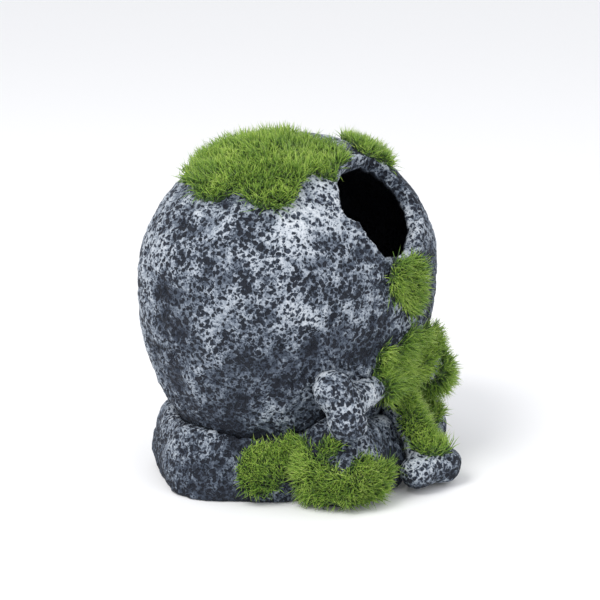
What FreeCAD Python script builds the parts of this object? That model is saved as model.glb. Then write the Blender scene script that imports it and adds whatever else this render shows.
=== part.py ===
"""Bubbling aquarium ornament: a hollow cast-resin dome with a broken opening, on a rock base, with two bones
against its flank, flock moss pads, and an air line that ends in an air stone inside the dome.

Millimetres, +Z up. The origin is on the base's flat underside, on the dome's vertical axis. The dome's long axis is
Y, its closed blank end faces -Y, and the air inlet leaves the other end, towards +Y.
One STEP file per piece is written to parts/."""

import FreeCAD, Part
import math
import os

V = FreeCAD.Vector

# ---- dome casting -------------------------------------------------------------------------------------------------
DOME_W = 82.0  # full width, X
DOME_L = 102.0  # full length, Y
DOME_WIDEST_Z = 62.0  # height of the widest section above the ground
DOME_RISE = 42.0  # widest section to crown
DOME_FALL = 66.0  # semi-height of the ellipse that the lower wall follows
DOME_RIM_Z = 14.0  # lower rim, seated in the base's groove
WALL = 6.0  # cast wall

# ---- rock base ----------------------------------------------------------------------------------------------------
BASE_TOP_Z = 20.0  # floor inside the dome, and the ledge around it
BASE_SEMI_X = 38.0  # ground outline
BASE_SEMI_Y = 45.0
BOULDERS = ((V(33.6, -12.6, 10.4), 15.0), (V(33.4, 1.4, 6.2), 11.2), (V(22.0, 32.0, 7.0), 12.0))

# ---- bones --------------------------------------------------------------------------------------------------------
SHAFT_R = 4.4
KNOB_R = 6.0
KNOB_SPREAD = 5.5
KNOB_POLE = V(0.6, 0.8, 0.0)  # the knobs' poles, turned clear of the faces that meet the dome
FRONT_BONE = (V(41.0, -19.2, 31.2), V(29.5, 29.0, 33.6))
REAR_BONE = (V(48.5, 11.0, 6.9), V(31.0, 11.5, 27.0))
FRONT_TWIST = -27.0  # degrees that the front bone's pairs of knobs are turned about its axis, from one above the other

# ---- moss ---------------------------------------------------------------------------------------------------------
MOSS = 3.5  # flock height

BONE_END_MOSS = ((28.0, 30.5, 36.5, 6.2), (30.5, 32.0, 27.0, 6.6), (30.0, 31.5, 17.5, 6.2))

# ---- air line -----------------------------------------------------------------------------------------------------
AIR_Z = 27.0  # height of the air line's axis
SPIGOT_R = 2.1  # plain spigot for 4 mm bore airline
INLET_BORE_R = 3.5
BOSS_R = 6.5
BOSS_IN_Y = 35.0
BOSS_OUT_Y = 45.0
STONE_R = 7.0
STONE_L = 26.0


def ellipsoid_half(a, b, c, up):
    """Half of an ellipsoid of semi-axes a, b, c about the origin, its flat side on z = 0. Its seam is turned to -X,
    away from the opening and the bones."""
    half = Part.makeSphere(1.0, V(0, 0, 0), V(0, 0, 1), 0, 90, 360)
    half.rotate(V(0, 0, 0), V(0, 0, 1), 180)
    m = FreeCAD.Matrix()
    m.scale(a, b, c if up else -c)
    return half.transformGeometry(m)


def ovoid(grow):
    """The dome's closed outer form, grown outwards by grow: two half ellipsoids that meet at the widest section,
    cut off flat at the lower rim."""
    a, b = DOME_W / 2 + grow, DOME_L / 2 + grow
    top = ellipsoid_half(a, b, DOME_RISE + grow, True)
    low = ellipsoid_half(a, b, DOME_FALL, False)
    body = top.fuse(low)
    body.translate(V(0, 0, DOME_WIDEST_Z))
    keep = Part.makeBox(300, 300, 300, V(-150, -150, DOME_RIM_Z))
    return body.common(keep)


def on_dome(x, y):
    """The height of the dome's upper surface above the point x, y."""
    a, b, c = DOME_W / 2, DOME_L / 2, DOME_RISE
    return DOME_WIDEST_Z + c * math.sqrt(max(0.0, 1 - (x / a) ** 2 - (y / b) ** 2))


def polygon_face(points):
    return Part.Face(Part.makePolygon(points + [points[0]]))


def prism_between(lower, upper):
    """A closed solid with flat triangles between two polygons of the same number of points."""
    n = len(lower)
    faces = [polygon_face(list(reversed(lower))), polygon_face(upper)]
    for i in range(n):
        j = (i + 1) % n
        faces.append(polygon_face([lower[i], lower[j], upper[j]]))
        faces.append(polygon_face([lower[i], upper[j], upper[i]]))
    solid = Part.Solid(Part.Shell(faces))
    if solid.Volume < 0:
        solid.reverse()
    return solid


# ---- the broken opening -------------------------------------------------------------------------------------------
BREAK_CENTRE = V(32.2, 10.7, 86.5)
BREAK_OUT = V(0.798, 0.171, 0.578)  # outward normal of the dome there
# The broken edge as (angle, radius) about the centre, in the plane across the opening: angle 0 is towards +Y, 90 is up.
BREAK_EDGE = [
    (4, 18.0), (24, 19.0), (46, 19.5), (66, 18.0), (88, 16.5), (110, 17.5), (132, 18.5), (156, 20.5), (174, 21.5),
    (188, 17.0), (204, 18.5), (228, 18.5), (250, 18.0), (272, 17.5), (296, 15.5), (318, 15.0), (340, 16.5),
]


def break_frame():
    n = V(BREAK_OUT)
    n.normalize()
    side = V(0, 0, 1).cross(n)
    side.normalize()
    up = n.cross(side)
    return n, side, up


def break_ring(depth, scale):
    n, side, up = break_frame()
    c = BREAK_CENTRE + n * depth
    ring = []
    for angle, r in BREAK_EDGE:
        t = math.radians(angle)
        ring.append(c + side * (r * scale * math.cos(t)) + up * (r * scale * math.sin(t)))
    return ring


def break_cutter():
    """The opening flares outwards, so that its broken edge is bevelled right through the wall."""
    return prism_between(break_ring(-18, 0.62), break_ring(16, 1.42))


def ring_at(z, sx, sy, phase):
    """An irregular closed outline of the rock base at height z."""
    points = []
    n = 28
    for i in range(n):
        t = 2 * math.pi * i / n
        r = 1 + 0.035 * math.sin(3 * t + 0.7 + phase) + 0.022 * math.sin(5 * t + 2.1 - phase)
        r += 0.014 * math.sin(8 * t + 1.3)
        points.append(V(sx * r * math.cos(t), sy * r * math.sin(t), z))
    curve = Part.BSplineCurve()
    curve.interpolate(points, PeriodicFlag=True)
    return Part.Wire(curve.toShape())


def mound(grow):
    """The rock base's outer form, grown outwards by grow."""
    g = grow
    rings = [
        ring_at(0.0, BASE_SEMI_X + g, BASE_SEMI_Y + g, 0.0),
        ring_at(6.5, BASE_SEMI_X + 1.2 + g, BASE_SEMI_Y + 1.2 + g, 0.12),
        ring_at(13.0, BASE_SEMI_X - 0.6 + g, BASE_SEMI_Y - 0.6 + g, 0.25),
        ring_at(BASE_TOP_Z + g, BASE_SEMI_X - 3.6 + g, BASE_SEMI_Y - 3.6 + g, 0.4),
    ]
    body = Part.makeLoft(rings, True, False)
    # a boulder under the front bone's knobs, a low one between the two bones, and one under the front bone's far end
    for centre, r in BOULDERS:
        body = body.fuse(Part.makeSphere(r + g, centre))
    return body.common(Part.makeBox(300, 300, 100, V(-150, -150, 0)))


def cone_between(p, q, r1, r2):
    d = q - p
    if r1 == r2:
        return Part.makeCylinder(r1, d.Length, p, d)
    return Part.makeCone(r1, r2, d.Length, p, d)


def bone(p, q, knob_p, knob_q, twist):
    """A bone along p to q: a waisted shaft, and a pair of round knobs at each end that has them. The knobs of a pair
    stand one above the other, turned by twist degrees about the shaft, so that at 90 they are side by side."""
    axis = q - p
    length = axis.Length
    axis.normalize()
    side = axis.cross(V(0, 0, 1))
    side.normalize()
    above = side.cross(axis)
    above.normalize()
    t = math.radians(twist)
    across = above * math.cos(t) + side * math.sin(t)
    middle = p + axis * (length / 2)
    body = cone_between(p, middle, SHAFT_R + 0.8, SHAFT_R - 0.5).fuse(
        cone_between(middle, q, SHAFT_R - 0.5, SHAFT_R + 0.8)
    )
    for end, wanted, s in ((p, knob_p, -1), (q, knob_q, 1)):
        if wanted:
            for k, r in ((1, KNOB_R), (-1, KNOB_R - 0.7)):
                knob = Part.makeSphere(r, end + across * (k * KNOB_SPREAD) + axis * (s * 0.8), KNOB_POLE)
                body = body.fuse(knob)
    return body


def sleeve(p, q, r, lift):
    """A round-ended bar along p to q, lifted clear of the bone's axis so that it covers one side of it."""
    a, b = p + lift, q + lift
    return cone_between(a, b, r, r).fuse(Part.makeSphere(r, a)).fuse(Part.makeSphere(r, b))


def blob(*balls):
    body = Part.makeSphere(balls[0][3], V(*balls[0][:3]))
    for x, y, z, r in balls[1:]:
        body = body.fuse(Part.makeSphere(r, V(x, y, z)))
    return body


def solid_of(shape, name):
    """The shape's one large solid, with any crumbs left out and said."""
    solids = sorted(shape.removeSplitter().Solids, key=lambda s: -s.Volume)
    if not solids:
        raise SystemExit(name + " has no solid")
    if len(solids) > 1:
        print(name, "leaves out", ["%.2f" % s.Volume for s in solids[1:]], "mm3")
    return solids[0]


# ---- build --------------------------------------------------------------------------------------------------------
outer = ovoid(0.0)
inner_a, inner_b = DOME_W / 2 - WALL, DOME_L / 2 - WALL
hollow = ellipsoid_half(inner_a, inner_b, DOME_RISE - WALL, True).fuse(
    ellipsoid_half(inner_a, inner_b, DOME_FALL, False)
)
hollow.translate(V(0, 0, DOME_WIDEST_Z))

boss = Part.makeCylinder(BOSS_R, BOSS_OUT_Y - BOSS_IN_Y, V(0, BOSS_IN_Y, AIR_Z), V(0, 1, 0))
bore = Part.makeCylinder(INLET_BORE_R, 40, V(0, 25, AIR_Z), V(0, 1, 0))
spot = Part.makeCylinder(BOSS_R, 20, V(0, BOSS_OUT_Y, AIR_Z), V(0, 1, 0))
breach = break_cutter()

shell = outer.cut(hollow).fuse(boss).cut(spot).cut(bore).cut(breach)

outer_full = outer.fuse(boss)
base = mound(0.0).cut(shell)
# the floor inside the dome is level
base = base.cut(Part.makeBox(300, 300, 60, V(-150, -150, BASE_TOP_Z)).common(hollow))
spot_clear = Part.makeCylinder(BOSS_R + 0.8, 20, V(0, BOSS_OUT_Y, AIR_Z), V(0, 1, 0))
base = base.cut(spot_clear)

front = bone(FRONT_BONE[0], FRONT_BONE[1], True, True, FRONT_TWIST).cut(outer_full).cut(mound(0.0))
rear = bone(REAR_BONE[0], REAR_BONE[1], True, False, 90.0).cut(outer_full).cut(mound(0.0)).cut(front)
rear = rear.common(Part.makeBox(300, 300, 300, V(-150, -150, 0.0)))

nodes = {}
nodes["cranium_shell"] = solid_of(shell, "cranium_shell")
nodes["rock_base"] = solid_of(base, "rock_base")
nodes["front_bone"] = solid_of(front, "front_bone")
nodes["rear_bone"] = solid_of(rear, "rear_bone")

castings = [nodes["cranium_shell"], nodes["rock_base"], nodes["front_bone"], nodes["rear_bone"]]

# moss pads on the dome: a layer of the flock's height, bounded by round patches
layer = ovoid(MOSS).cut(outer)


def dome_pad(name, *balls):
    pad = layer.common(blob(*balls)).cut(breach)
    for other in (front, rear, mound(0.0)):
        pad = pad.cut(other)
    nodes[name] = solid_of(pad, name)


def patch(x, y, r):
    """A ball of radius r about the point of the dome's upper surface above x, y."""
    return (x, y, on_dome(x, y), r)


dome_pad("moss_crown", patch(8, -18, 16), patch(-6, -25, 11), patch(3, -31, 9), patch(19, -5, 9), patch(17, -25, 9))
dome_pad("moss_rear_crown", patch(14.5, 21, 7), patch(5.5, 27, 8))
dome_pad("moss_rear_side", (40.3, 8.5, 65.0, 7.5), (40.0, 12.0, 58.0, 5.5))

# moss on the bones
fa, fb = FRONT_BONE
fd = fb - fa
lift = V(1.6, -0.6, 3.2)


def bone_pad(name, shape, taken):
    pad = shape
    for other in [outer_full, mound(0.0), front, rear] + taken:
        pad = pad.cut(other)
    nodes[name] = solid_of(pad, name)


bone_pad("moss_front_bone", sleeve(fa + fd * 0.56, fa + fd * 0.86, SHAFT_R + 2.4, lift), [nodes["moss_rear_side"]])
bone_pad("moss_bone_end", blob(*BONE_END_MOSS),
         [nodes["moss_front_bone"]])
ra, rb = REAR_BONE
rd = rb - ra
bone_pad("moss_rear_bone", sleeve(ra + rd * 0.22, ra + rd * 0.70, SHAFT_R + 1.8, V(3.0, 1.8, 4.0)),
         [nodes["moss_front_bone"], nodes["moss_bone_end"]])

# moss on the base's side, held above the ground
base_layer = mound(MOSS).cut(mound(0.0)).common(Part.makeBox(300, 300, 100, V(-150, -150, 1.0)))


def base_pad(name, *balls):
    pad = base_layer.common(blob(*balls))
    others = [outer_full, front, rear, nodes["moss_rear_bone"]]
    if "moss_base_front" in nodes:
        others.append(nodes["moss_base_front"])
    for other in others:
        pad = pad.cut(other)
    nodes[name] = solid_of(pad, name)


base_pad("moss_base_front", (24.0, -36.0, 11.0, 8.5), (30.0, -30.0, 14.0, 8.0))
base_pad("moss_base_side", (38.0, -24.0, 7.0, 8.5), (38.0, -19.5, 15.0, 6.0), (44.0, -16.0, 8.0, 8.5), (46.0, -8.5, 6.0, 6.0))

# ---- the air line -------------------------------------------------------------------------------------------------
Y = V(0, 1, 0)


def tube(y0, y1, r, r_in=0.0):
    body = Part.makeCylinder(r, y1 - y0, V(0, y0, AIR_Z), Y)
    return body.cut(Part.makeCylinder(r_in, y1 - y0, V(0, y0, AIR_Z), Y)) if r_in else body


# inlet: a shank cemented in the boss, a flange outside, and a spigot each way
SPIGOT_IN_Y, SPIGOT_OUT_Y = 28.0, 57.0
FLANGE_T = 2.0
inlet = tube(BOSS_IN_Y, BOSS_OUT_Y, INLET_BORE_R)
inlet = inlet.fuse(tube(BOSS_OUT_Y, BOSS_OUT_Y + FLANGE_T, BOSS_R - 0.5))
inlet = inlet.fuse(tube(SPIGOT_IN_Y, SPIGOT_OUT_Y, SPIGOT_R))
inlet = inlet.fuse(Part.makeCone(SPIGOT_R, SPIGOT_R - 0.5, 2.0, V(0, SPIGOT_OUT_Y, AIR_Z), Y))
inlet = inlet.cut(tube(SPIGOT_IN_Y - 5, SPIGOT_OUT_Y + 5, 1.1))
nodes["air_inlet"] = solid_of(inlet, "air_inlet")

# soft link tube from the inlet's inner spigot to the air stone's nipple
LINK_Y = (20.0, 34.0)
nodes["link_tube"] = solid_of(tube(LINK_Y[0], LINK_Y[1], 3.1, SPIGOT_R), "link_tube")

# air stone: a porous cylinder lying on the floor, with a moulded nipple cemented in its end
STONE_Y1 = 18.0
NIPPLE_IN = 6.0
nipple = tube(STONE_Y1 - NIPPLE_IN, 26.0, SPIGOT_R).fuse(tube(STONE_Y1, STONE_Y1 + 1.5, 4.0))
nipple = nipple.cut(tube(STONE_Y1 - NIPPLE_IN - 1, 27.0, 1.1))
nodes["air_stone_nipple"] = solid_of(nipple, "air_stone_nipple")
stone = tube(STONE_Y1 - STONE_L, STONE_Y1, STONE_R)
stone = stone.makeChamfer(0.8, [e for e in stone.Edges if isinstance(e.Curve, Part.Circle)])
stone = stone.cut(tube(STONE_Y1 - NIPPLE_IN, STONE_Y1, SPIGOT_R))
nodes["air_stone"] = solid_of(stone, "air_stone")

os.makedirs("parts", exist_ok=True)
for old in os.listdir("parts"):
    if old.endswith(".step") and old[:-5] not in nodes:
        os.remove(os.path.join("parts", old))
for name, shape in nodes.items():
    if not shape.isValid():
        print("INVALID", name)
    shape.exportStep("parts/" + name + ".step")
    b = shape.BoundBox
    print("%-18s solids %d faces %3d volume %9.1f  x %6.1f..%6.1f y %6.1f..%6.1f z %6.1f..%6.1f" % (
        name, len(shape.Solids), len(shape.Faces), shape.Volume, b.XMin, b.XMax, b.YMin, b.YMax, b.ZMin, b.ZMax))
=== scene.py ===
"""Looks for the bubbling ornament: eroded cast stone, bones, flock moss and the air line.
Shapes are worked out in millimetres and written in metres. The dome's end towards -Y is a plain blank wall."""

import math

import bpy
import numpy as np
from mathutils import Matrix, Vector


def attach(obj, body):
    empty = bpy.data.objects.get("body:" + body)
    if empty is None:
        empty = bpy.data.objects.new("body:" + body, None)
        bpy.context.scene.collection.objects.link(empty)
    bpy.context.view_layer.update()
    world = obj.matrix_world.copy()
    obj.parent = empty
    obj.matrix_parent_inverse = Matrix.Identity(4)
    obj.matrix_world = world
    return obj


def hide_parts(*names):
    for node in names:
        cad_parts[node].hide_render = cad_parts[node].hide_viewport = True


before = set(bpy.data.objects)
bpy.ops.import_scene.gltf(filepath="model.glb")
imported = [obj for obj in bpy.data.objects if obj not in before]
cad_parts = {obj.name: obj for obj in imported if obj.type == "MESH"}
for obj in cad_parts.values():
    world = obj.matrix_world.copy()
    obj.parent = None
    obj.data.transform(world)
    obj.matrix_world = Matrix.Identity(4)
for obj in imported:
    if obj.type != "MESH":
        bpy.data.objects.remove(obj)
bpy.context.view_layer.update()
scene = bpy.context.scene

# ---- dimensions, as in the CAD model, in millimetres --------------------------------------------------------------
DOME_A, DOME_B, RISE, FALL, WIDEST, RIM, WALL = 41.0, 51.0, 42.0, 66.0, 62.0, 14.0, 6.0
BASE_TOP = 20.0
BREAK_C = np.array([32.2, 10.7, 86.5])
BREAK_N = np.array([0.798, 0.171, 0.578])
BREAK_EDGE = [
    (4, 18.0), (24, 19.0), (46, 19.5), (66, 18.0), (88, 16.5), (110, 17.5), (132, 18.5), (156, 20.5), (174, 21.5),
    (188, 17.0), (204, 18.5), (228, 18.5), (250, 18.0), (272, 17.5), (296, 15.5), (318, 15.0), (340, 16.5),
]
FRONT = (np.array([41.0, -19.2, 31.2]), np.array([29.5, 29.0, 33.6]))
REAR = (np.array([48.5, 11.0, 6.9]), np.array([31.0, 11.5, 27.0]))
SHAFT_R, KNOB_R, SPREAD, FRONT_TWIST = 4.4, 6.0, 5.5, -27.0
BOULDERS = (((33.6, -12.6, 10.4), 15.0), ((33.4, 1.4, 6.2), 11.2), ((22.0, 32.0, 7.0), 12.0))
AIR_Z, BOSS_R, BOSS_IN, BOSS_OUT, BORE_R = 27.0, 6.5, 35.0, 45.0, 3.5


# ---- noise --------------------------------------------------------------------------------------------------------
N = 32


def lattice(seed, k=1):
    r = np.random.default_rng(seed).random((N, N, N, k)).astype(np.float32)
    return r[..., 0] * 2 - 1 if k == 1 else r


def noise(p, size, seed):
    """Smooth value noise, about -1 to 1, with features size millimetres across."""
    table = lattice(seed)
    g = p / size + 7.31 * (seed % 5)
    i = np.floor(g).astype(np.int64)
    f = (g - i).astype(np.float32)
    f = f * f * (3 - 2 * f)
    out = 0.0
    for dx in (0, 1):
        wx = f[..., 0] if dx else 1 - f[..., 0]
        for dy in (0, 1):
            wy = f[..., 1] if dy else 1 - f[..., 1]
            for dz in (0, 1):
                wz = f[..., 2] if dz else 1 - f[..., 2]
                out = out + wx * wy * wz * table[(i[..., 0] + dx) % N, (i[..., 1] + dy) % N, (i[..., 2] + dz) % N]
    return out


def fbm(p, size, seed, octaves=3, gain=0.5):
    out, amp, total = 0.0, 1.0, 0.0
    for k in range(octaves):
        out = out + amp * noise(p, size / 2**k, seed + 11 * k)
        total += amp
        amp *= gain
    return out / total


def cells(p, size, seed):
    """Distances to the nearest and second nearest of scattered points, in units of size."""
    table = lattice(seed, 3)
    g = p / size
    i = np.floor(g).astype(np.int64)
    first = np.full(len(p), 9.0)
    second = np.full(len(p), 9.0)
    for dx in (-1, 0, 1):
        for dy in (-1, 0, 1):
            for dz in (-1, 0, 1):
                c = i + np.array([dx, dy, dz])
                q = c + table[c[:, 0] % N, c[:, 1] % N, c[:, 2] % N]
                d = np.sqrt(((g - q) ** 2).sum(1))
                second = np.minimum(second, np.maximum(first, d))
                first = np.minimum(first, d)
    return first, second


# ---- distance fields ----------------------------------------------------------------------------------------------
def ovoid(p, shrink=0.0):
    """Signed distance, nearly, to the dome's closed outer form, or to its hollow when shrink is the wall."""
    q = p - np.array([0.0, 0.0, WIDEST])
    up = q[..., 2] > 0
    c = np.where(up, RISE - shrink, FALL)
    r = np.stack([np.full(c.shape, DOME_A - shrink), np.full(c.shape, DOME_B - shrink), c], -1)
    k0 = np.sqrt(((q / r) ** 2).sum(-1)) + 1e-9
    k1 = np.sqrt(((q / r**2) ** 2).sum(-1)) + 1e-9
    return k0 * (k0 - 1) / k1


def smax(a, b, k):
    h = np.clip(0.5 + 0.5 * (a - b) / k, 0, 1)
    return b + (a - b) * h + k * h * (1 - h)


def smin(a, b, k):
    return -smax(-a, -b, k)


def broken(p, ragged=0.0):
    """Signed distance, nearly, to the flared cutter of the broken opening."""
    n = BREAK_N / np.linalg.norm(BREAK_N)
    side = np.cross([0, 0, 1.0], n)
    side /= np.linalg.norm(side)
    up = np.cross(n, side)
    q = p - BREAK_C
    d, s, t = q @ n, q @ side, q @ up
    angle = np.degrees(np.arctan2(t, s)) % 360
    edge = sorted(BREAK_EDGE)
    xs = [a for a, _ in edge] + [edge[0][0] + 360]
    rs = [r for _, r in edge] + [edge[0][1]]
    r = np.interp(np.where(angle < xs[0], angle + 360, angle), xs, rs)
    r = r * np.clip(0.62 + 0.8 * (d + 18) / 34, 0.5, 1.5)
    if ragged:
        r = r + ragged * fbm(p, 6.5, 77, 3, 0.6)
    rho = np.sqrt(s * s + t * t)
    return np.maximum((rho - r) * 0.9, -17 - d)


def capsule(p, a, b, ra, rb):
    ab = b - a
    t = np.clip((p - a) @ ab / (ab @ ab), 0, 1)
    return np.sqrt(((p - a - t[..., None] * ab) ** 2).sum(-1)) - (ra + (rb - ra) * t)


def ball(p, c, r):
    return np.sqrt(((p - np.array(c)) ** 2).sum(-1)) - r


def rod_y(p, r, y0, y1):
    rho = np.sqrt(p[..., 0] ** 2 + (p[..., 2] - AIR_Z) ** 2) - r
    return np.maximum(rho, np.maximum(y0 - p[..., 1], p[..., 1] - y1))


def f_shell(p, ragged=1.5):
    wall = np.maximum(ovoid(p), -ovoid(p, WALL))
    wall = np.maximum(wall, RIM - p[..., 2])
    wall = smin(wall, np.maximum(rod_y(p, BOSS_R, BOSS_IN, BOSS_OUT), -50), 1.0)
    wall = np.maximum(wall, -rod_y(p, BOSS_R, BOSS_OUT, 80))
    wall = np.maximum(wall, -rod_y(p, BORE_R + 0.05, 20, 80))
    return smax(wall, -broken(p, ragged), 1.6)


def f_mound(p):
    x, y, z = p[..., 0], p[..., 1], p[..., 2]
    zs = [0.0, 6.5, 13.0, 20.0]
    sx = np.interp(z, zs, [38.0, 39.2, 37.4, 34.4])
    sy = np.interp(z, zs, [45.0, 46.2, 44.4, 41.4])
    ph = np.interp(z, zs, [0.0, 0.12, 0.25, 0.4])
    t = np.arctan2(y / sy, x / sx)
    r = 1 + 0.035 * np.sin(3 * t + 0.7 + ph) + 0.022 * np.sin(5 * t + 2.1 - ph) + 0.014 * np.sin(8 * t + 1.3)
    k = np.sqrt((x / sx) ** 2 + (y / sy) ** 2)
    f = smax((k - r) * 38.0, z - BASE_TOP, 2.5)
    for c, rad in BOULDERS:
        f = smin(f, ball(p, c, rad), 2.5)
    return f


def f_base(p):
    f = f_mound(p) - 0.9 * fbm(p, 11.0, 5, 3, 0.55)
    f = np.maximum(f, -p[..., 2])
    # the groove that the dome's rim sits in, and the level floor inside it
    f = np.maximum(f, -np.maximum(np.maximum(ovoid(p), -ovoid(p, WALL)), RIM - p[..., 2]))
    f = np.maximum(f, -np.maximum(ovoid(p, WALL), BASE_TOP - p[..., 2]))
    return np.maximum(f, -rod_y(p, BOSS_R + 0.8, BOSS_IN, 80))


def f_bone(p, ends, knob_q, twist):
    a, b = ends
    axis = (b - a) / np.linalg.norm(b - a)
    side = np.cross(axis, [0, 0, 1.0])
    side /= np.linalg.norm(side)
    t = math.radians(twist)
    across = np.cross(side, axis) * math.cos(t) + side * math.sin(t)
    mid = (a + b) / 2
    f = smin(capsule(p, a, mid, SHAFT_R + 0.8, SHAFT_R - 0.5), capsule(p, mid, b, SHAFT_R - 0.5, SHAFT_R + 0.8), 1.0)
    for end, s, wanted in ((a, -1, True), (b, 1, knob_q)):
        if wanted:
            f = smin(f, ball(p, end + across * SPREAD + axis * s * 0.8, KNOB_R), 2.4)
            f = smin(f, ball(p, end - across * SPREAD + axis * s * 0.8, KNOB_R - 0.7), 2.4)
    f = f - 0.45 * fbm(p, 7.0, 21, 2)
    f = np.maximum(f, -(ovoid(p) - 0.05))
    return np.maximum(np.maximum(f, -(f_mound(p) - 0.05)), 0.1 - p[..., 2])


# ---- meshing ------------------------------------------------------------------------------------------------------
def grid_mesh(field, lo, hi, h):
    """Vertices and quads of the field's zero surface, by surface nets."""
    lo, hi = np.array(lo, float), np.array(hi, float)
    n = np.ceil((hi - lo) / h).astype(int) + 1
    axes = [lo[k] + h * np.arange(n[k]) for k in range(3)]
    f = np.empty(tuple(n), np.float32)
    for i0 in range(0, n[0], 24):
        block = np.stack(np.meshgrid(axes[0][i0 : i0 + 24], axes[1], axes[2], indexing="ij"), -1)
        f[i0 : i0 + 24] = field(block)
    f[f == 0] = 1e-6
    s = f < 0
    cn = n - 1
    strides = np.array([cn[1] * cn[2], cn[2], 1])
    total = int(cn.prod())
    acc = np.zeros((3, total))
    count = np.zeros(total)
    quads = []
    for ax in range(3):
        a = [slice(None)] * 3
        b = [slice(None)] * 3
        a[ax], b[ax] = slice(0, -1), slice(1, None)
        a, b = tuple(a), tuple(b)
        cross = s[a] != s[b]
        idx = np.argwhere(cross)
        t = f[a][cross] / (f[a][cross] - f[b][cross])
        inner_first = s[a][cross]
        o1, o2 = [k for k in range(3) if k != ax]
        ok = (idx[:, o1] > 0) & (idx[:, o2] > 0) & (idx[:, o1] < cn[o1]) & (idx[:, o2] < cn[o2])
        idx, t, inner_first = idx[ok], t[ok], inner_first[ok]
        pos = idx.astype(float)
        pos[:, ax] += t
        corners = []
        for d1, d2 in ((-1, -1), (0, -1), (0, 0), (-1, 0)):
            c = idx.copy()
            c[:, o1] += d1
            c[:, o2] += d2
            lin = c @ strides
            corners.append(lin)
            for k in range(3):
                acc[k] += np.bincount(lin, pos[:, k], minlength=total)
            count += np.bincount(lin, minlength=total)
        q = np.stack(corners, 1)
        flip = inner_first if ax == 1 else ~inner_first
        q[flip] = q[flip][:, ::-1]
        quads.append(q)
    used = count > 0
    ids = np.full(total, -1)
    ids[used] = np.arange(used.sum())
    verts = (acc[:, used] / count[used]).T * h + lo
    return verts, ids[np.concatenate(quads)]


def normals_of(v, q):
    n = np.cross(v[q[:, 2]] - v[q[:, 0]], v[q[:, 3]] - v[q[:, 1]])
    out = np.zeros_like(v)
    for k in range(4):
        for c in range(3):
            out[:, c] += np.bincount(q[:, k], n[:, c], minlength=len(v))
    return out / (np.linalg.norm(out, axis=1, keepdims=True) + 1e-12)


def relax(v, q, rounds=1, amount=0.5):
    for _ in range(rounds):
        total = np.zeros_like(v)
        count = np.zeros(len(v))
        for k in range(4):
            a, b = q[:, k], q[:, (k + 1) % 4]
            for s, d in ((a, b), (b, a)):
                count += np.bincount(s, minlength=len(v))
                for c in range(3):
                    total[:, c] += np.bincount(s, v[d, c], minlength=len(v))
        v = v + amount * (total / count[:, None] - v)
    return v


def largest(v, q):
    """Only the largest connected piece: stray crumbs are dropped."""
    label = np.arange(len(v))
    while True:
        low = label[q].min(1)
        new = label.copy()
        for k in range(4):
            np.minimum.at(new, q[:, k], low)
        new = new[new]
        if (new == label).all():
            break
        label = new
    keep = np.bincount(label).argmax()
    fine = label == keep
    ids = np.cumsum(fine) - 1
    return v[fine], ids[q[fine[q[:, 0]]]]


def to_object(name, verts, faces, attributes=(), smooth=True):
    """faces is a list of arrays, each of faces with the same number of corners."""
    me = bpy.data.meshes.new(name)
    loops = np.concatenate([f.ravel() for f in faces]).astype(np.int32)
    sizes = np.concatenate([np.full(len(f), f.shape[1]) for f in faces])
    starts = np.concatenate([[0], np.cumsum(sizes)[:-1]]).astype(np.int32)
    me.vertices.add(len(verts))
    me.vertices.foreach_set("co", (verts * 0.001).astype(np.float32).ravel())
    me.loops.add(len(loops))
    me.loops.foreach_set("vertex_index", loops)
    me.polygons.add(len(sizes))
    me.polygons.foreach_set("loop_start", starts)
    me.update(calc_edges=True)
    for label, values in attributes:
        me.attributes.new(label, "FLOAT", "POINT").data.foreach_set("value", values.astype(np.float32))
    me.polygons.foreach_set("use_smooth", np.full(len(sizes), smooth))
    me.update()
    ob = bpy.data.objects.new(name, me)
    scene.collection.objects.link(ob)
    return ob


def weather(v, q, strength=1.0, seed=3):
    """Erodes a casting: broad lumps, hollows, and pits a few millimetres apart. Returns the moved vertices, the height
    that each vertex was given, and the smooth normals from before."""
    n = normals_of(v, q)
    lumps = fbm(v, 15.0, seed, 3, 0.55)
    hollow = np.clip(noise(v, 9.0, seed + 20) - 0.15, 0, 1)
    ridges = 1 - np.abs(noise(v, 5.0, seed + 31)) * 2
    warp = np.stack([noise(v, 3.0, seed + s) for s in (41, 42, 43)], 1)
    one, _ = cells(v + 1.2 * warp, 3.7, seed + 50)
    small, _ = cells(v + 0.7 * warp, 2.1, seed + 55)
    where = np.clip(0.60 + 0.9 * noise(v, 10.0, seed + 60), 0, 1)
    pits = np.clip(1 - one / 0.52, 0, 1) * where
    pocks = np.clip(1 - small / 0.50, 0, 1) * np.clip(0.65 + 0.8 * noise(v, 6.0, seed + 65), 0, 1)
    fine = fbm(v, 1.9, seed + 70, 2)
    height = 0.95 * lumps - 0.9 * hollow + 0.30 * ridges - 1.15 * pits - 0.55 * pocks + 0.22 * fine
    return v + n * (height * strength)[:, None], height, n


# ---- materials ----------------------------------------------------------------------------------------------------
def material(name):
    m = bpy.data.materials.new(name)
    m.use_nodes = True
    m.node_tree.nodes.clear()
    return m, m.node_tree.nodes, m.node_tree.links


def link(links, a, b):
    links.new(a, b)


def ramp(nodes, stops):
    r = nodes.new("ShaderNodeValToRGB")
    r.color_ramp.elements[0].position, r.color_ramp.elements[0].color = stops[0][0], (*stops[0][1], 1)
    r.color_ramp.elements[1].position, r.color_ramp.elements[1].color = stops[-1][0], (*stops[-1][1], 1)
    for pos, col in stops[1:-1]:
        r.color_ramp.elements.new(pos).color = (*col, 1)
    return r


def maths(nodes, links, op, a, b=None, clamp=False):
    m = nodes.new("ShaderNodeMath")
    m.operation = op
    m.use_clamp = clamp
    for k, value in enumerate((a, b)):
        if value is None:
            continue
        if isinstance(value, (int, float)):
            m.inputs[k].default_value = value
        else:
            links.new(value, m.inputs[k])
    return m.outputs[0]


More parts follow.
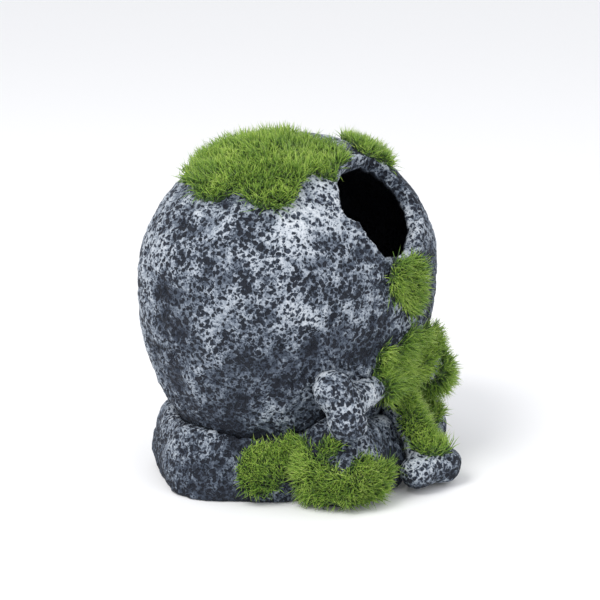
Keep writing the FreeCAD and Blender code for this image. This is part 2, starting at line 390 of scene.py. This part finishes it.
def stone_material():
    m, nodes, links = material("cast_resin_stone")
    out = nodes.new("ShaderNodeOutputMaterial")
    shader = nodes.new("ShaderNodeBsdfPrincipled")
    links.new(shader.outputs[0], out.inputs[0])
    where = nodes.new("ShaderNodeTexCoord").outputs["Object"]

    def tex(scale, detail=3.0, rough=0.6, colour=False):
        t = nodes.new("ShaderNodeTexNoise")
        t.inputs["Scale"].default_value = scale
        t.inputs["Detail"].default_value = detail
        t.inputs["Roughness"].default_value = rough
        links.new(where, t.inputs["Vector"])
        return t.outputs["Color"] if colour else t.outputs[0]

    # coordinates bent by a fine noise, so that the pits aren't round
    shift = nodes.new("ShaderNodeVectorMath")
    shift.operation = "SUBTRACT"
    links.new(tex(520.0, 2.0, 0.6, True), shift.inputs[0])
    shift.inputs[1].default_value = (0.5, 0.5, 0.5)
    wide = nodes.new("ShaderNodeVectorMath")
    wide.operation = "SCALE"
    links.new(shift.outputs[0], wide.inputs[0])
    wide.inputs["Scale"].default_value = 0.0021
    bent = nodes.new("ShaderNodeVectorMath")
    bent.operation = "ADD"
    links.new(where, bent.inputs[0])
    links.new(wide.outputs[0], bent.inputs[1])

    def holes(scale, grow, inner, outer):
        """1 in a pit and 0 on the ridge between pits; grow is how far a slow noise widens the pits."""
        t = nodes.new("ShaderNodeTexVoronoi")
        t.inputs["Scale"].default_value = scale
        links.new(bent.outputs[0], t.inputs["Vector"])
        d = maths(nodes, links, "ADD", t.outputs["Distance"], grow)
        r = nodes.new("ShaderNodeMapRange")
        r.interpolation_type = "SMOOTHSTEP"
        r.inputs["From Min"].default_value = outer
        r.inputs["From Max"].default_value = inner
        links.new(d, r.inputs["Value"])
        return r.outputs[0]

    grain = tex(1300.0, 3.0, 0.65)
    patch = tex(95.0, 3.0, 0.55)
    mottle = tex(260.0, 2.0, 0.5)
    slow = maths(nodes, links, "MULTIPLY", maths(nodes, links, "SUBTRACT", patch, 0.5), 0.45)
    mid = maths(nodes, links, "MULTIPLY", maths(nodes, links, "SUBTRACT", mottle, 0.5), 0.30)
    grow = maths(nodes, links, "ADD", slow, mid)
    big = holes(660.0, grow, 0.26, 0.50)
    little = holes(1250.0, grow, 0.22, 0.48)

    def read(name):
        a = nodes.new("ShaderNodeAttribute")
        a.attribute_name = name
        return a.outputs["Fac"]

    # paleness attribute: dry brushing plus painted light on upward faces and painted shade in undercuts and low down
    up = maths(nodes, links, "ADD", read("brush_and_painted_light"), maths(nodes, links, "MULTIPLY", read("height"), 0.30))
    up = maths(nodes, links, "ADD", up, maths(nodes, links, "MULTIPLY", grow, 0.9))
    up = maths(nodes, links, "SUBTRACT", up, maths(nodes, links, "MULTIPLY", big, 0.55))
    up = maths(nodes, links, "SUBTRACT", up, maths(nodes, links, "MULTIPLY", little, 0.33))
    speck = maths(nodes, links, "MULTIPLY", maths(nodes, links, "SUBTRACT", grain, 0.5), 0.75)
    up = maths(nodes, links, "ADD", up, speck, True)
    colours = ramp(nodes, [
        (0.00, (0.008, 0.011, 0.019)),
        (0.26, (0.024, 0.033, 0.052)),
        (0.42, (0.066, 0.084, 0.115)),
        (0.53, (0.150, 0.178, 0.222)),
        (0.65, (0.300, 0.338, 0.390)),
        (0.82, (0.455, 0.492, 0.540)),
        (1.00, (0.590, 0.620, 0.660)),
    ])
    links.new(up, colours.inputs[0])
    # the inside of the dome and the floor under it are mixed to near black: painted shade
    mix = nodes.new("ShaderNodeMix")
    mix.data_type = "RGBA"
    links.new(read("inner"), mix.inputs["Factor"])
    links.new(colours.outputs[0], mix.inputs["A"])
    mix.inputs["B"].default_value = (0.010, 0.013, 0.020, 1)
    links.new(mix.outputs["Result"], shader.inputs["Base Color"])
    rough = nodes.new("ShaderNodeMapRange")
    rough.inputs["To Min"].default_value = 0.60
    rough.inputs["To Max"].default_value = 0.88
    links.new(grain, rough.inputs["Value"])
    links.new(rough.outputs[0], shader.inputs["Roughness"])
    shader.inputs["Specular IOR Level"].default_value = 0.30
    height = maths(nodes, links, "MULTIPLY", grain, 0.30)
    height = maths(nodes, links, "SUBTRACT", height, maths(nodes, links, "MULTIPLY", big, 0.60))
    height = maths(nodes, links, "SUBTRACT", height, maths(nodes, links, "MULTIPLY", little, 0.30))
    bump = nodes.new("ShaderNodeBump")
    bump.inputs["Strength"].default_value = 1.0
    bump.inputs["Distance"].default_value = 0.0006
    links.new(height, bump.inputs["Height"])
    links.new(bump.outputs[0], shader.inputs["Normal"])
    return m


def moss_material():
    m, nodes, links = material("moss_flock")
    out = nodes.new("ShaderNodeOutputMaterial")
    shader = nodes.new("ShaderNodeBsdfPrincipled")
    links.new(shader.outputs[0], out.inputs[0])
    along = nodes.new("ShaderNodeAttribute")
    along.attribute_name = "along"
    tone = nodes.new("ShaderNodeAttribute")
    tone.attribute_name = "tone"
    where = nodes.new("ShaderNodeTexCoord").outputs["Object"]
    patch = nodes.new("ShaderNodeTexNoise")
    patch.inputs["Scale"].default_value = 130.0
    links.new(where, patch.inputs["Vector"])
    v = maths(nodes, links, "MULTIPLY", along.outputs["Fac"], 0.78)
    t = maths(nodes, links, "SUBTRACT", tone.outputs["Fac"], 0.5)
    v = maths(nodes, links, "ADD", v, maths(nodes, links, "MULTIPLY", t, 0.34))
    q = maths(nodes, links, "SUBTRACT", patch.outputs[0], 0.5)
    v = maths(nodes, links, "ADD", v, maths(nodes, links, "MULTIPLY", q, 0.50), True)
    colours = ramp(nodes, [
        (0.00, (0.010, 0.028, 0.004)),
        (0.25, (0.040, 0.105, 0.008)),
        (0.48, (0.125, 0.250, 0.020)),
        (0.70, (0.285, 0.440, 0.055)),
        (0.88, (0.470, 0.620, 0.130)),
        (1.00, (0.640, 0.740, 0.270)),
    ])
    links.new(v, colours.inputs[0])
    links.new(colours.outputs[0], shader.inputs["Base Color"])
    shader.inputs["Roughness"].default_value = 0.55
    shader.inputs["Specular IOR Level"].default_value = 0.25
    shader.inputs["Sheen Weight"].default_value = 0.15
    return m


def plain_material(name, colour, roughness, scale, depth, second=None, transmission=0.0, detail=3.0):
    m, nodes, links = material(name)
    out = nodes.new("ShaderNodeOutputMaterial")
    shader = nodes.new("ShaderNodeBsdfPrincipled")
    links.new(shader.outputs[0], out.inputs[0])
    where = nodes.new("ShaderNodeTexCoord").outputs["Object"]
    t = nodes.new("ShaderNodeTexNoise")
    t.inputs["Scale"].default_value = scale
    t.inputs["Detail"].default_value = detail
    links.new(where, t.inputs["Vector"])
    r = ramp(nodes, [(0.3, colour), (0.7, second or tuple(min(1, c * 1.25) for c in colour))])
    links.new(t.outputs[0], r.inputs[0])
    links.new(r.outputs[0], shader.inputs["Base Color"])
    mr = nodes.new("ShaderNodeMapRange")
    mr.inputs["To Min"].default_value = roughness * 0.85
    mr.inputs["To Max"].default_value = min(1.0, roughness * 1.15)
    links.new(t.outputs[0], mr.inputs["Value"])
    links.new(mr.outputs[0], shader.inputs["Roughness"])
    shader.inputs["Transmission Weight"].default_value = transmission
    b = nodes.new("ShaderNodeBump")
    b.inputs["Distance"].default_value = depth
    b.inputs["Strength"].default_value = 0.6
    links.new(t.outputs[0], b.inputs["Height"])
    links.new(b.outputs[0], shader.inputs["Normal"])
    return m


STONE = stone_material()
MOSS = moss_material()


# ---- castings -----------------------------------------------------------------------------------------------------
def brush_and_painted_light_of(v, n):
    """How pale the casting is coloured: pale dry brushing with a random tone, plus painted light on faces that look up
    and painted shade in undercuts and lower down.
    """
    return 0.55 + 0.11 * np.clip(n[:, 2], -1, 1) + 0.0024 * (np.minimum(v[:, 2], 60.0) - 55) + 0.06 * fbm(v, 16.0, 91, 2)


def casting(name, node, field, lo, hi, h, strength, seed):
    v, q = largest(*grid_mesh(field, lo, hi, h))
    v = relax(v, q, 1, 0.4)
    moved, height, n = weather(v, q, strength, seed)
    if node == "cranium_shell":
        # the inner wall of the hollow dome, whose colour is mixed to near black as painted shade
        painted_shade_inside = np.clip((-ovoid(v) - (WALL - 1.6)) / 1.0, 0, 1)
        edge = np.clip(1 - np.abs(broken(v, 1.5)) / 1.2, 0, 1) * (1 - painted_shade_inside)
        height = height + 0.25 * edge
        # the boss, the bore and the seated rim stay true
        still = np.clip(1 - (rod_y(v, BOSS_R, BOSS_IN - 1, BOSS_OUT + 1)) / 2.0, 0, 1)
        still = np.maximum(still, np.clip((BASE_TOP + 1 - v[:, 2]) / 2.0, 0, 1))
        moved = v + (moved - v) * (1 - still)[:, None]
    else:
        painted_shade_inside = np.zeros(len(v))
        if node == "rock_base":
            # the floor inside the dome, left undisplaced and coloured near black as painted shade
            painted_shade_inside = (np.clip(-(ovoid(v) + 0.5), 0, 1) * (v[:, 2] > RIM - 1)).astype(float)
            moved = v + (moved - v) * np.clip(1 - painted_shade_inside, 0, 1)[:, None]
            moved[:, 2] = np.where(v[:, 2] < 0.6, np.maximum(v[:, 2], 0.0), np.maximum(moved[:, 2], 0.0))
    if node == "rear_bone":
        moved[:, 2] = np.maximum(moved[:, 2], 0.05)
    # pale dry brushing plus painted light on upward faces and painted shade in undercuts and low down; the bones are
    # brushed paler; inner marks the painted shade inside the dome
    brush_and_painted_light = brush_and_painted_light_of(v, n) + (0.16 if node in ("front_bone", "rear_bone") else 0.0)
    ob = to_object(name, moved, [q], [("height", height), ("inner", painted_shade_inside), ("brush_and_painted_light", brush_and_painted_light)])
    print(name, len(q), "quads")
    ob.data.materials.append(STONE)
    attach(ob, "root")
    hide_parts(node)
    return {"v": moved, "q": q, "n": n}


coarse = 1.0
shell = casting("dome_casting", "cranium_shell", f_shell, (-44, -54, 12), (44, 54, 107), 0.72 * coarse, 1.0, 3)
base = casting("rock_base_casting", "rock_base", f_base, (-43, -50, -1.6), (54, 50, 28), 0.8 * coarse, 0.9, 8)
front = casting("front_bone_casting", "front_bone", lambda p: f_bone(p, FRONT, True, FRONT_TWIST),
                (14, -31, 14), (54, 48, 49), 0.5 * coarse, 0.55, 14)
rear = casting("rear_bone_casting", "rear_bone", lambda p: np.maximum(
    f_bone(p, REAR, False, 90.0), -(f_bone(p, FRONT, True, FRONT_TWIST) - 0.05)),
               (22, -4, -1), (61, 26, 38), 0.5 * coarse, 0.55, 17)


# ---- moss ---------------------------------------------------------------------------------------------------------
def top_of(x, y):
    return WIDEST + RISE * math.sqrt(1 - (x / DOME_A) ** 2 - (y / DOME_B) ** 2)


def balls_field(p, balls):
    f = np.full(len(p), 1e9)
    for x, y, z, r in balls:
        f = np.minimum(f, ball(p, (x, y, z), r))
    return f


def fibres(points, normals, length, seed, floor=None, rise=0.12):
    """Closed three-sided tapered fibres; moss() gives each one its own cell of the baking layout."""
    rng = np.random.default_rng(seed)
    m = len(points)
    comb = np.stack([noise(points, 7.0, seed + k) for k in (1, 2, 3)], 1)
    lean = normals + 0.60 * comb + 0.55 * rng.normal(size=(m, 3)) + np.array([0, 0, rise])
    lean -= np.minimum((lean * normals).sum(1) - 0.35, 0)[:, None] * normals
    lean /= np.linalg.norm(lean, axis=1, keepdims=True)
    size = length * np.clip(rng.normal(1.0, 0.20, m) + 0.16 * np.clip(noise(points, 4.5, seed + 4), -1, 1), 0.45, 1.4)
    bend = rng.normal(size=(m, 3)) * 0.34 + 0.25 * comb + np.array([0, 0, -0.10])
    bend -= (bend * lean).sum(1)[:, None] * lean
    mid = points + lean * (size * 0.52)[:, None] + bend * (size * 0.16)[:, None]
    tip = points + lean * (size * 0.97)[:, None] + bend * (size * 0.62)[:, None]
    root = points - normals * 0.35
    if floor is not None:
        for a in (mid, tip):
            a[:, 2] = np.maximum(a[:, 2], floor)
    side = np.cross(lean, rng.normal(size=(m, 3)))
    side /= np.linalg.norm(side, axis=1, keepdims=True)
    other = np.cross(lean, side)
    thick = 0.165 * rng.uniform(0.8, 1.25, m)
    verts = []
    for centre, k in ((root, 1.0), (mid, 0.82)):
        for j in range(3):
            t = 2 * math.pi * j / 3
            verts.append(centre + (side * math.cos(t) + other * math.sin(t)) * (thick * k)[:, None])
    verts.append(tip)
    v = np.stack(verts, 1).reshape(-1, 3)
    first = np.arange(m)[:, None] * 7
    quads = np.concatenate([first + np.array([[j, (j + 1) % 3, 3 + (j + 1) % 3, 3 + j]]) for j in range(3)])
    tris = np.concatenate([first + np.array([[3 + j, 3 + (j + 1) % 3, 6]]) for j in range(3)] + [first + np.array([[2, 1, 0]])])
    along = np.tile(np.array([0, 0, 0, 0.58, 0.58, 0.58, 1.0]), m)
    tone = np.repeat(np.clip(rng.uniform(0, 1, m) + 0.35 * noise(points, 5.5, seed + 9), 0, 1), 7)
    return v, quads, tris, along, tone


def mat_under(source, mask):
    """The flocked glue layer under the fibres: a thin closed sheet that follows the casting."""
    v, q, n = source["v"], source["q"], source["n"]
    use = q[mask[q].all(1)]
    if not len(use):
        return np.zeros((0, 3)), np.zeros((0, 4), int)
    ids = np.unique(use)
    back = np.full(len(v), -1)
    back[ids] = np.arange(len(ids))
    use = back[use]
    k = len(ids)
    top, low = v[ids] + n[ids] * 0.45, v[ids] - n[ids] * 0.25
    a, b = use.ravel(), np.roll(use, -1, axis=1).ravel()
    key = {}
    for i, j in zip(a.tolist(), b.tolist()):
        key[(i, j)] = True
    rim = [(i, j) for (i, j) in key if (j, i) not in key]
    sides = np.array([(j, i, i + k, j + k) for i, j in rim], int)
    return np.concatenate([top, low]), np.concatenate([use, use[:, ::-1] + k, sides])


def moss(name, node, sources, region, density=6.0, length=4.3, seed=1, floor=None, keep=None, rise=0.12):
    rng = np.random.default_rng(seed)
    points, normals, mats = [], [], []
    for src in sources:
        v, q, n = src["v"], src["q"], src["n"]
        inside = region(v) + 1.3 * fbm(v, 4.5, seed + 5, 2) < 0
        if keep is not None:
            inside &= keep(v)
        mats.append(mat_under(src, inside))
        f = q[inside[q].all(1)]
        if not len(f):
            continue
        for tri in (f[:, [0, 1, 2]], f[:, [0, 2, 3]]):
            a, b, c = v[tri[:, 0]], v[tri[:, 1]], v[tri[:, 2]]
            area = np.linalg.norm(np.cross(b - a, c - a), axis=1) / 2
            want = int(area.sum() * density)
            pick = rng.choice(len(tri), want, p=area / area.sum())
            s, t = rng.random(want), rng.random(want)
            over = s + t > 1
            s[over], t[over] = 1 - s[over], 1 - t[over]
            points.append(a[pick] + (b - a)[pick] * s[:, None] + (c - a)[pick] * t[:, None])
            normals.append(n[tri[pick, 0]])
    points, normals = np.concatenate(points), np.concatenate(normals)
    # thinner towards the patch's edge
    stay = rng.random(len(points)) > 0.45 * np.clip(1 + region(points) / 1.8, 0, 1)
    points, normals = points[stay], normals[stay]
    fv, fq, ft, along, tone = fibres(points, normals, length, seed, floor, rise)
    m = len(points)
    mv, mq = [], []
    offset = len(fv)
    for v, q in mats:
        mv.append(v)
        mq.append(q + offset)
        offset += len(v)
    mv = np.concatenate(mv)
    mq = np.concatenate(mq)
    if floor is not None:
        mv[:, 2] = np.maximum(mv[:, 2], floor)
    v = np.concatenate([fv, mv])
    along = np.concatenate([along, np.full(len(mv), 0.12)])
    tone = np.concatenate([tone, np.full(len(mv), 0.5)])
    ob = to_object(name, v, [fq, ft, mq], [("along", along), ("tone", tone)])
    # baking layout: a square grid of cells for the fibres over a strip for the layer under them
    strip = 0.16
    across = int(math.ceil(math.sqrt(m / (1 - strip))))
    cell = 1.0 / across
    ix = (np.arange(m) % across) * cell
    iy = strip + (np.arange(m) // across) * cell
    shrink = 0.8 * cell
    corner_u = np.array([0, 1, 0.5, 0, 1, 0.5, 0.5])
    corner_v = np.array([0, 0, 0, 0.58, 0.58, 0.58, 1.0])
    uv = np.zeros((len(v), 2))
    uv[: 7 * m, 0] = np.repeat(ix, 7) + 0.1 * cell + shrink * np.tile(corner_u, m)
    uv[: 7 * m, 1] = np.repeat(iy, 7) + 0.1 * cell + shrink * np.tile(corner_v, m)
    span = np.ptp(mv, axis=0).max() + 1e-6
    uv[7 * m :, 0] = 0.01 + (mv[:, 1] - mv[:, 1].min()) / span * 0.9
    uv[7 * m :, 1] = 0.005 + (mv[:, 2] - mv[:, 2].min()) / span * (strip - 0.02)
    layer = ob.data.uv_layers.new(name="OFBake")
    loops = np.zeros(len(ob.data.loops), np.int32)
    ob.data.loops.foreach_get("vertex_index", loops)
    layer.data.foreach_set("uv", np.clip(uv[loops], 0, 1).astype(np.float32).ravel())
    ob.data.materials.append(MOSS)
    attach(ob, "root")
    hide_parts(node)
    print("moss", name, m, "fibres")


def on_outside(v):
    return (ovoid(v) > -1.8) & (broken(v, 1.5) > 0.6)


def clear(v):
    return (ovoid(v) > 0.5) & (f_mound(v) > -1.5) & (v[:, 2] > 1.5)


thin = 1.0


def patch(x, y, r):
    return (x, y, top_of(x, y), r)


CROWN = [patch(8, -18, 16), patch(-6, -25, 11), patch(3, -31, 9), patch(19, -5, 9), patch(17, -25, 9)]
moss("moss_crown_tuft", "moss_crown", [shell], lambda p: balls_field(p, CROWN), 6.5 * thin, 4.4, 101, keep=on_outside)
BACK = [patch(14.5, 21, 7), patch(5.5, 27, 8)]
moss("moss_rear_crown_tuft", "moss_rear_crown", [shell], lambda p: balls_field(p, BACK), 6.5 * thin, 4.2, 111, keep=on_outside)
FLANK = [(40.3, 8.5, 65.0, 7.5), (40.0, 12.0, 58.0, 5.5)]
moss("moss_rear_side_tuft", "moss_rear_side", [shell], lambda p: balls_field(p, FLANK) - 0.6, 7.0 * thin, 4.4, 121, keep=on_outside)
fa, fb = FRONT
fd = fb - fa
lift = np.array([1.6, -0.6, 3.2])
SHELF = [(38.0, 3.0, 39.5, 5.5), (37.5, 12.0, 41.0, 7.0), (35.0, 20.5, 40.5, 6.0)]
moss("moss_front_bone_tuft", "moss_front_bone", [front, shell],
     lambda p: np.minimum(capsule(p, fa + fd * 0.50 + lift, fa + fd * 0.86 + lift, SHAFT_R + 3.2, SHAFT_R + 3.2),
                          balls_field(p, SHELF)), 7.5 * thin, 4.6, 131,
     keep=lambda v: (ovoid(v) > -1.2) & (f_mound(v) > -1.5) & (v[:, 2] > 1.5), rise=0.35)
END = [(28.0, 30.5, 36.5, 6.2), (30.5, 32.0, 27.0, 6.6), (30.0, 31.5, 17.5, 6.2)]
moss("moss_bone_end_tuft", "moss_bone_end", [front, base], lambda p: balls_field(p, END) - 1.0, 7.5 * thin, 4.4, 141, keep=clear, rise=-0.15)
ra, rb = REAR
rd = rb - ra
lift2 = np.array([3.0, 1.8, 4.0])
moss("moss_rear_bone_tuft", "moss_rear_bone", [rear],
     lambda p: capsule(p, ra + rd * 0.20 + lift2, ra + rd * 0.74 + lift2, SHAFT_R + 2.4, SHAFT_R + 2.4), 7.5 * thin, 4.2, 151, floor=0.3, keep=clear)
LOW1 = [(24.0, -36.0, 11.0, 8.5), (30.0, -30.0, 14.0, 8.0)]
LOW2 = [(38.0, -24.0, 7.0, 8.5), (38.0, -19.5, 15.0, 6.0), (44.0, -16.0, 8.0, 8.5), (46.0, -8.5, 6.0, 6.0)]
moss("moss_base_front_tuft", "moss_base_front", [base], lambda p: balls_field(p, LOW1), 6.5 * thin, 4.2, 161, floor=0.3, rise=0.75,
     keep=lambda v: (v[:, 2] > 1.6) & (ovoid(v) > 0.4))
moss("moss_base_side_tuft", "moss_base_side", [base], lambda p: balls_field(p, LOW2), 6.5 * thin, 4.2, 171, floor=0.3, rise=0.75,
     keep=lambda v: (v[:, 2] > 1.6) & (ovoid(v) > 0.4))

# ---- the air line -------------------------------------------------------------------------------------------------
for node, mat in (
    ("air_inlet", plain_material("inlet_moulding", (0.020, 0.021, 0.024), 0.36, 900.0, 0.00004)),
    ("air_stone_nipple", plain_material("nipple_moulding", (0.030, 0.090, 0.200), 0.34, 900.0, 0.00004)),
    ("link_tube", plain_material("silicone_tube", (0.62, 0.66, 0.66), 0.30, 300.0, 0.00003, transmission=0.35)),
    ("air_stone", plain_material("porous_stone", (0.09, 0.13, 0.20), 0.92, 1500.0, 0.0006, (0.30, 0.38, 0.48), detail=5.0)),
):
    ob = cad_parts[node]
    ob.data.materials.clear()
    ob.data.materials.append(mat)

# ---- stage --------------------------------------------------------------------------------------------------------
bpy.ops.mesh.primitive_plane_add(size=12, location=(0, 0, 0))
floor = bpy.context.object
floor.name = "floor"
m, nodes, links = material("floor_card")
out = nodes.new("ShaderNodeOutputMaterial")
sh = nodes.new("ShaderNodeBsdfPrincipled")
sh.inputs["Base Color"].default_value = (0.90, 0.90, 0.91, 1)
sh.inputs["Roughness"].default_value = 0.9
links.new(sh.outputs[0], out.inputs[0])
floor.data.materials.append(m)

world = bpy.data.worlds.new("studio")
scene.world = world
world.use_nodes = True
world.node_tree.nodes["Background"].inputs[0].default_value = (0.97, 0.98, 1.0, 1)
world.node_tree.nodes["Background"].inputs[1].default_value = 0.98
scene.view_settings.view_transform = "Standard"

AZ, EL, LENS, DIST = 45.0, 15.0, 100.0, 0.52
a, e = math.radians(AZ), math.radians(EL)
back = Vector((math.sin(a) * math.cos(e), -math.cos(a) * math.cos(e), math.sin(e)))
right = Vector((math.cos(a), math.sin(a), 0))
target = right * 0.0030 + Vector((0, 0, 0.0518))
cam = bpy.data.cameras.new("camera")
cam.lens = LENS
cam.clip_start = 0.01
eye = bpy.data.objects.new("camera", cam)
scene.collection.objects.link(eye)
eye.location = target + back * DIST
eye.rotation_euler = (-back).to_track_quat("-Z", "Y").to_euler()
scene.camera = eye


def area(name, offset, size, power, colour=(1, 1, 1)):
    data = bpy.data.lights.new(name, "AREA")
    data.shape = "DISK"
    data.size = size
    data.energy = power
    data.color = colour
    ob = bpy.data.objects.new(name, data)
    scene.collection.objects.link(ob)
    ob.location = target + offset
    ob.rotation_euler = (target - ob.location).to_track_quat("-Z", "Y").to_euler()


flat_back = Vector((back.x, back.y, 0)).normalized()
area("key", -right * 0.40 + flat_back * 0.42 + Vector((0, 0, 0.75)), 0.40, 5.0, (1.0, 0.99, 0.97))
area("fill", right * 0.55 + flat_back * 0.60 + Vector((0, 0, 0.30)), 0.6, 1.2, (0.95, 0.97, 1.0))
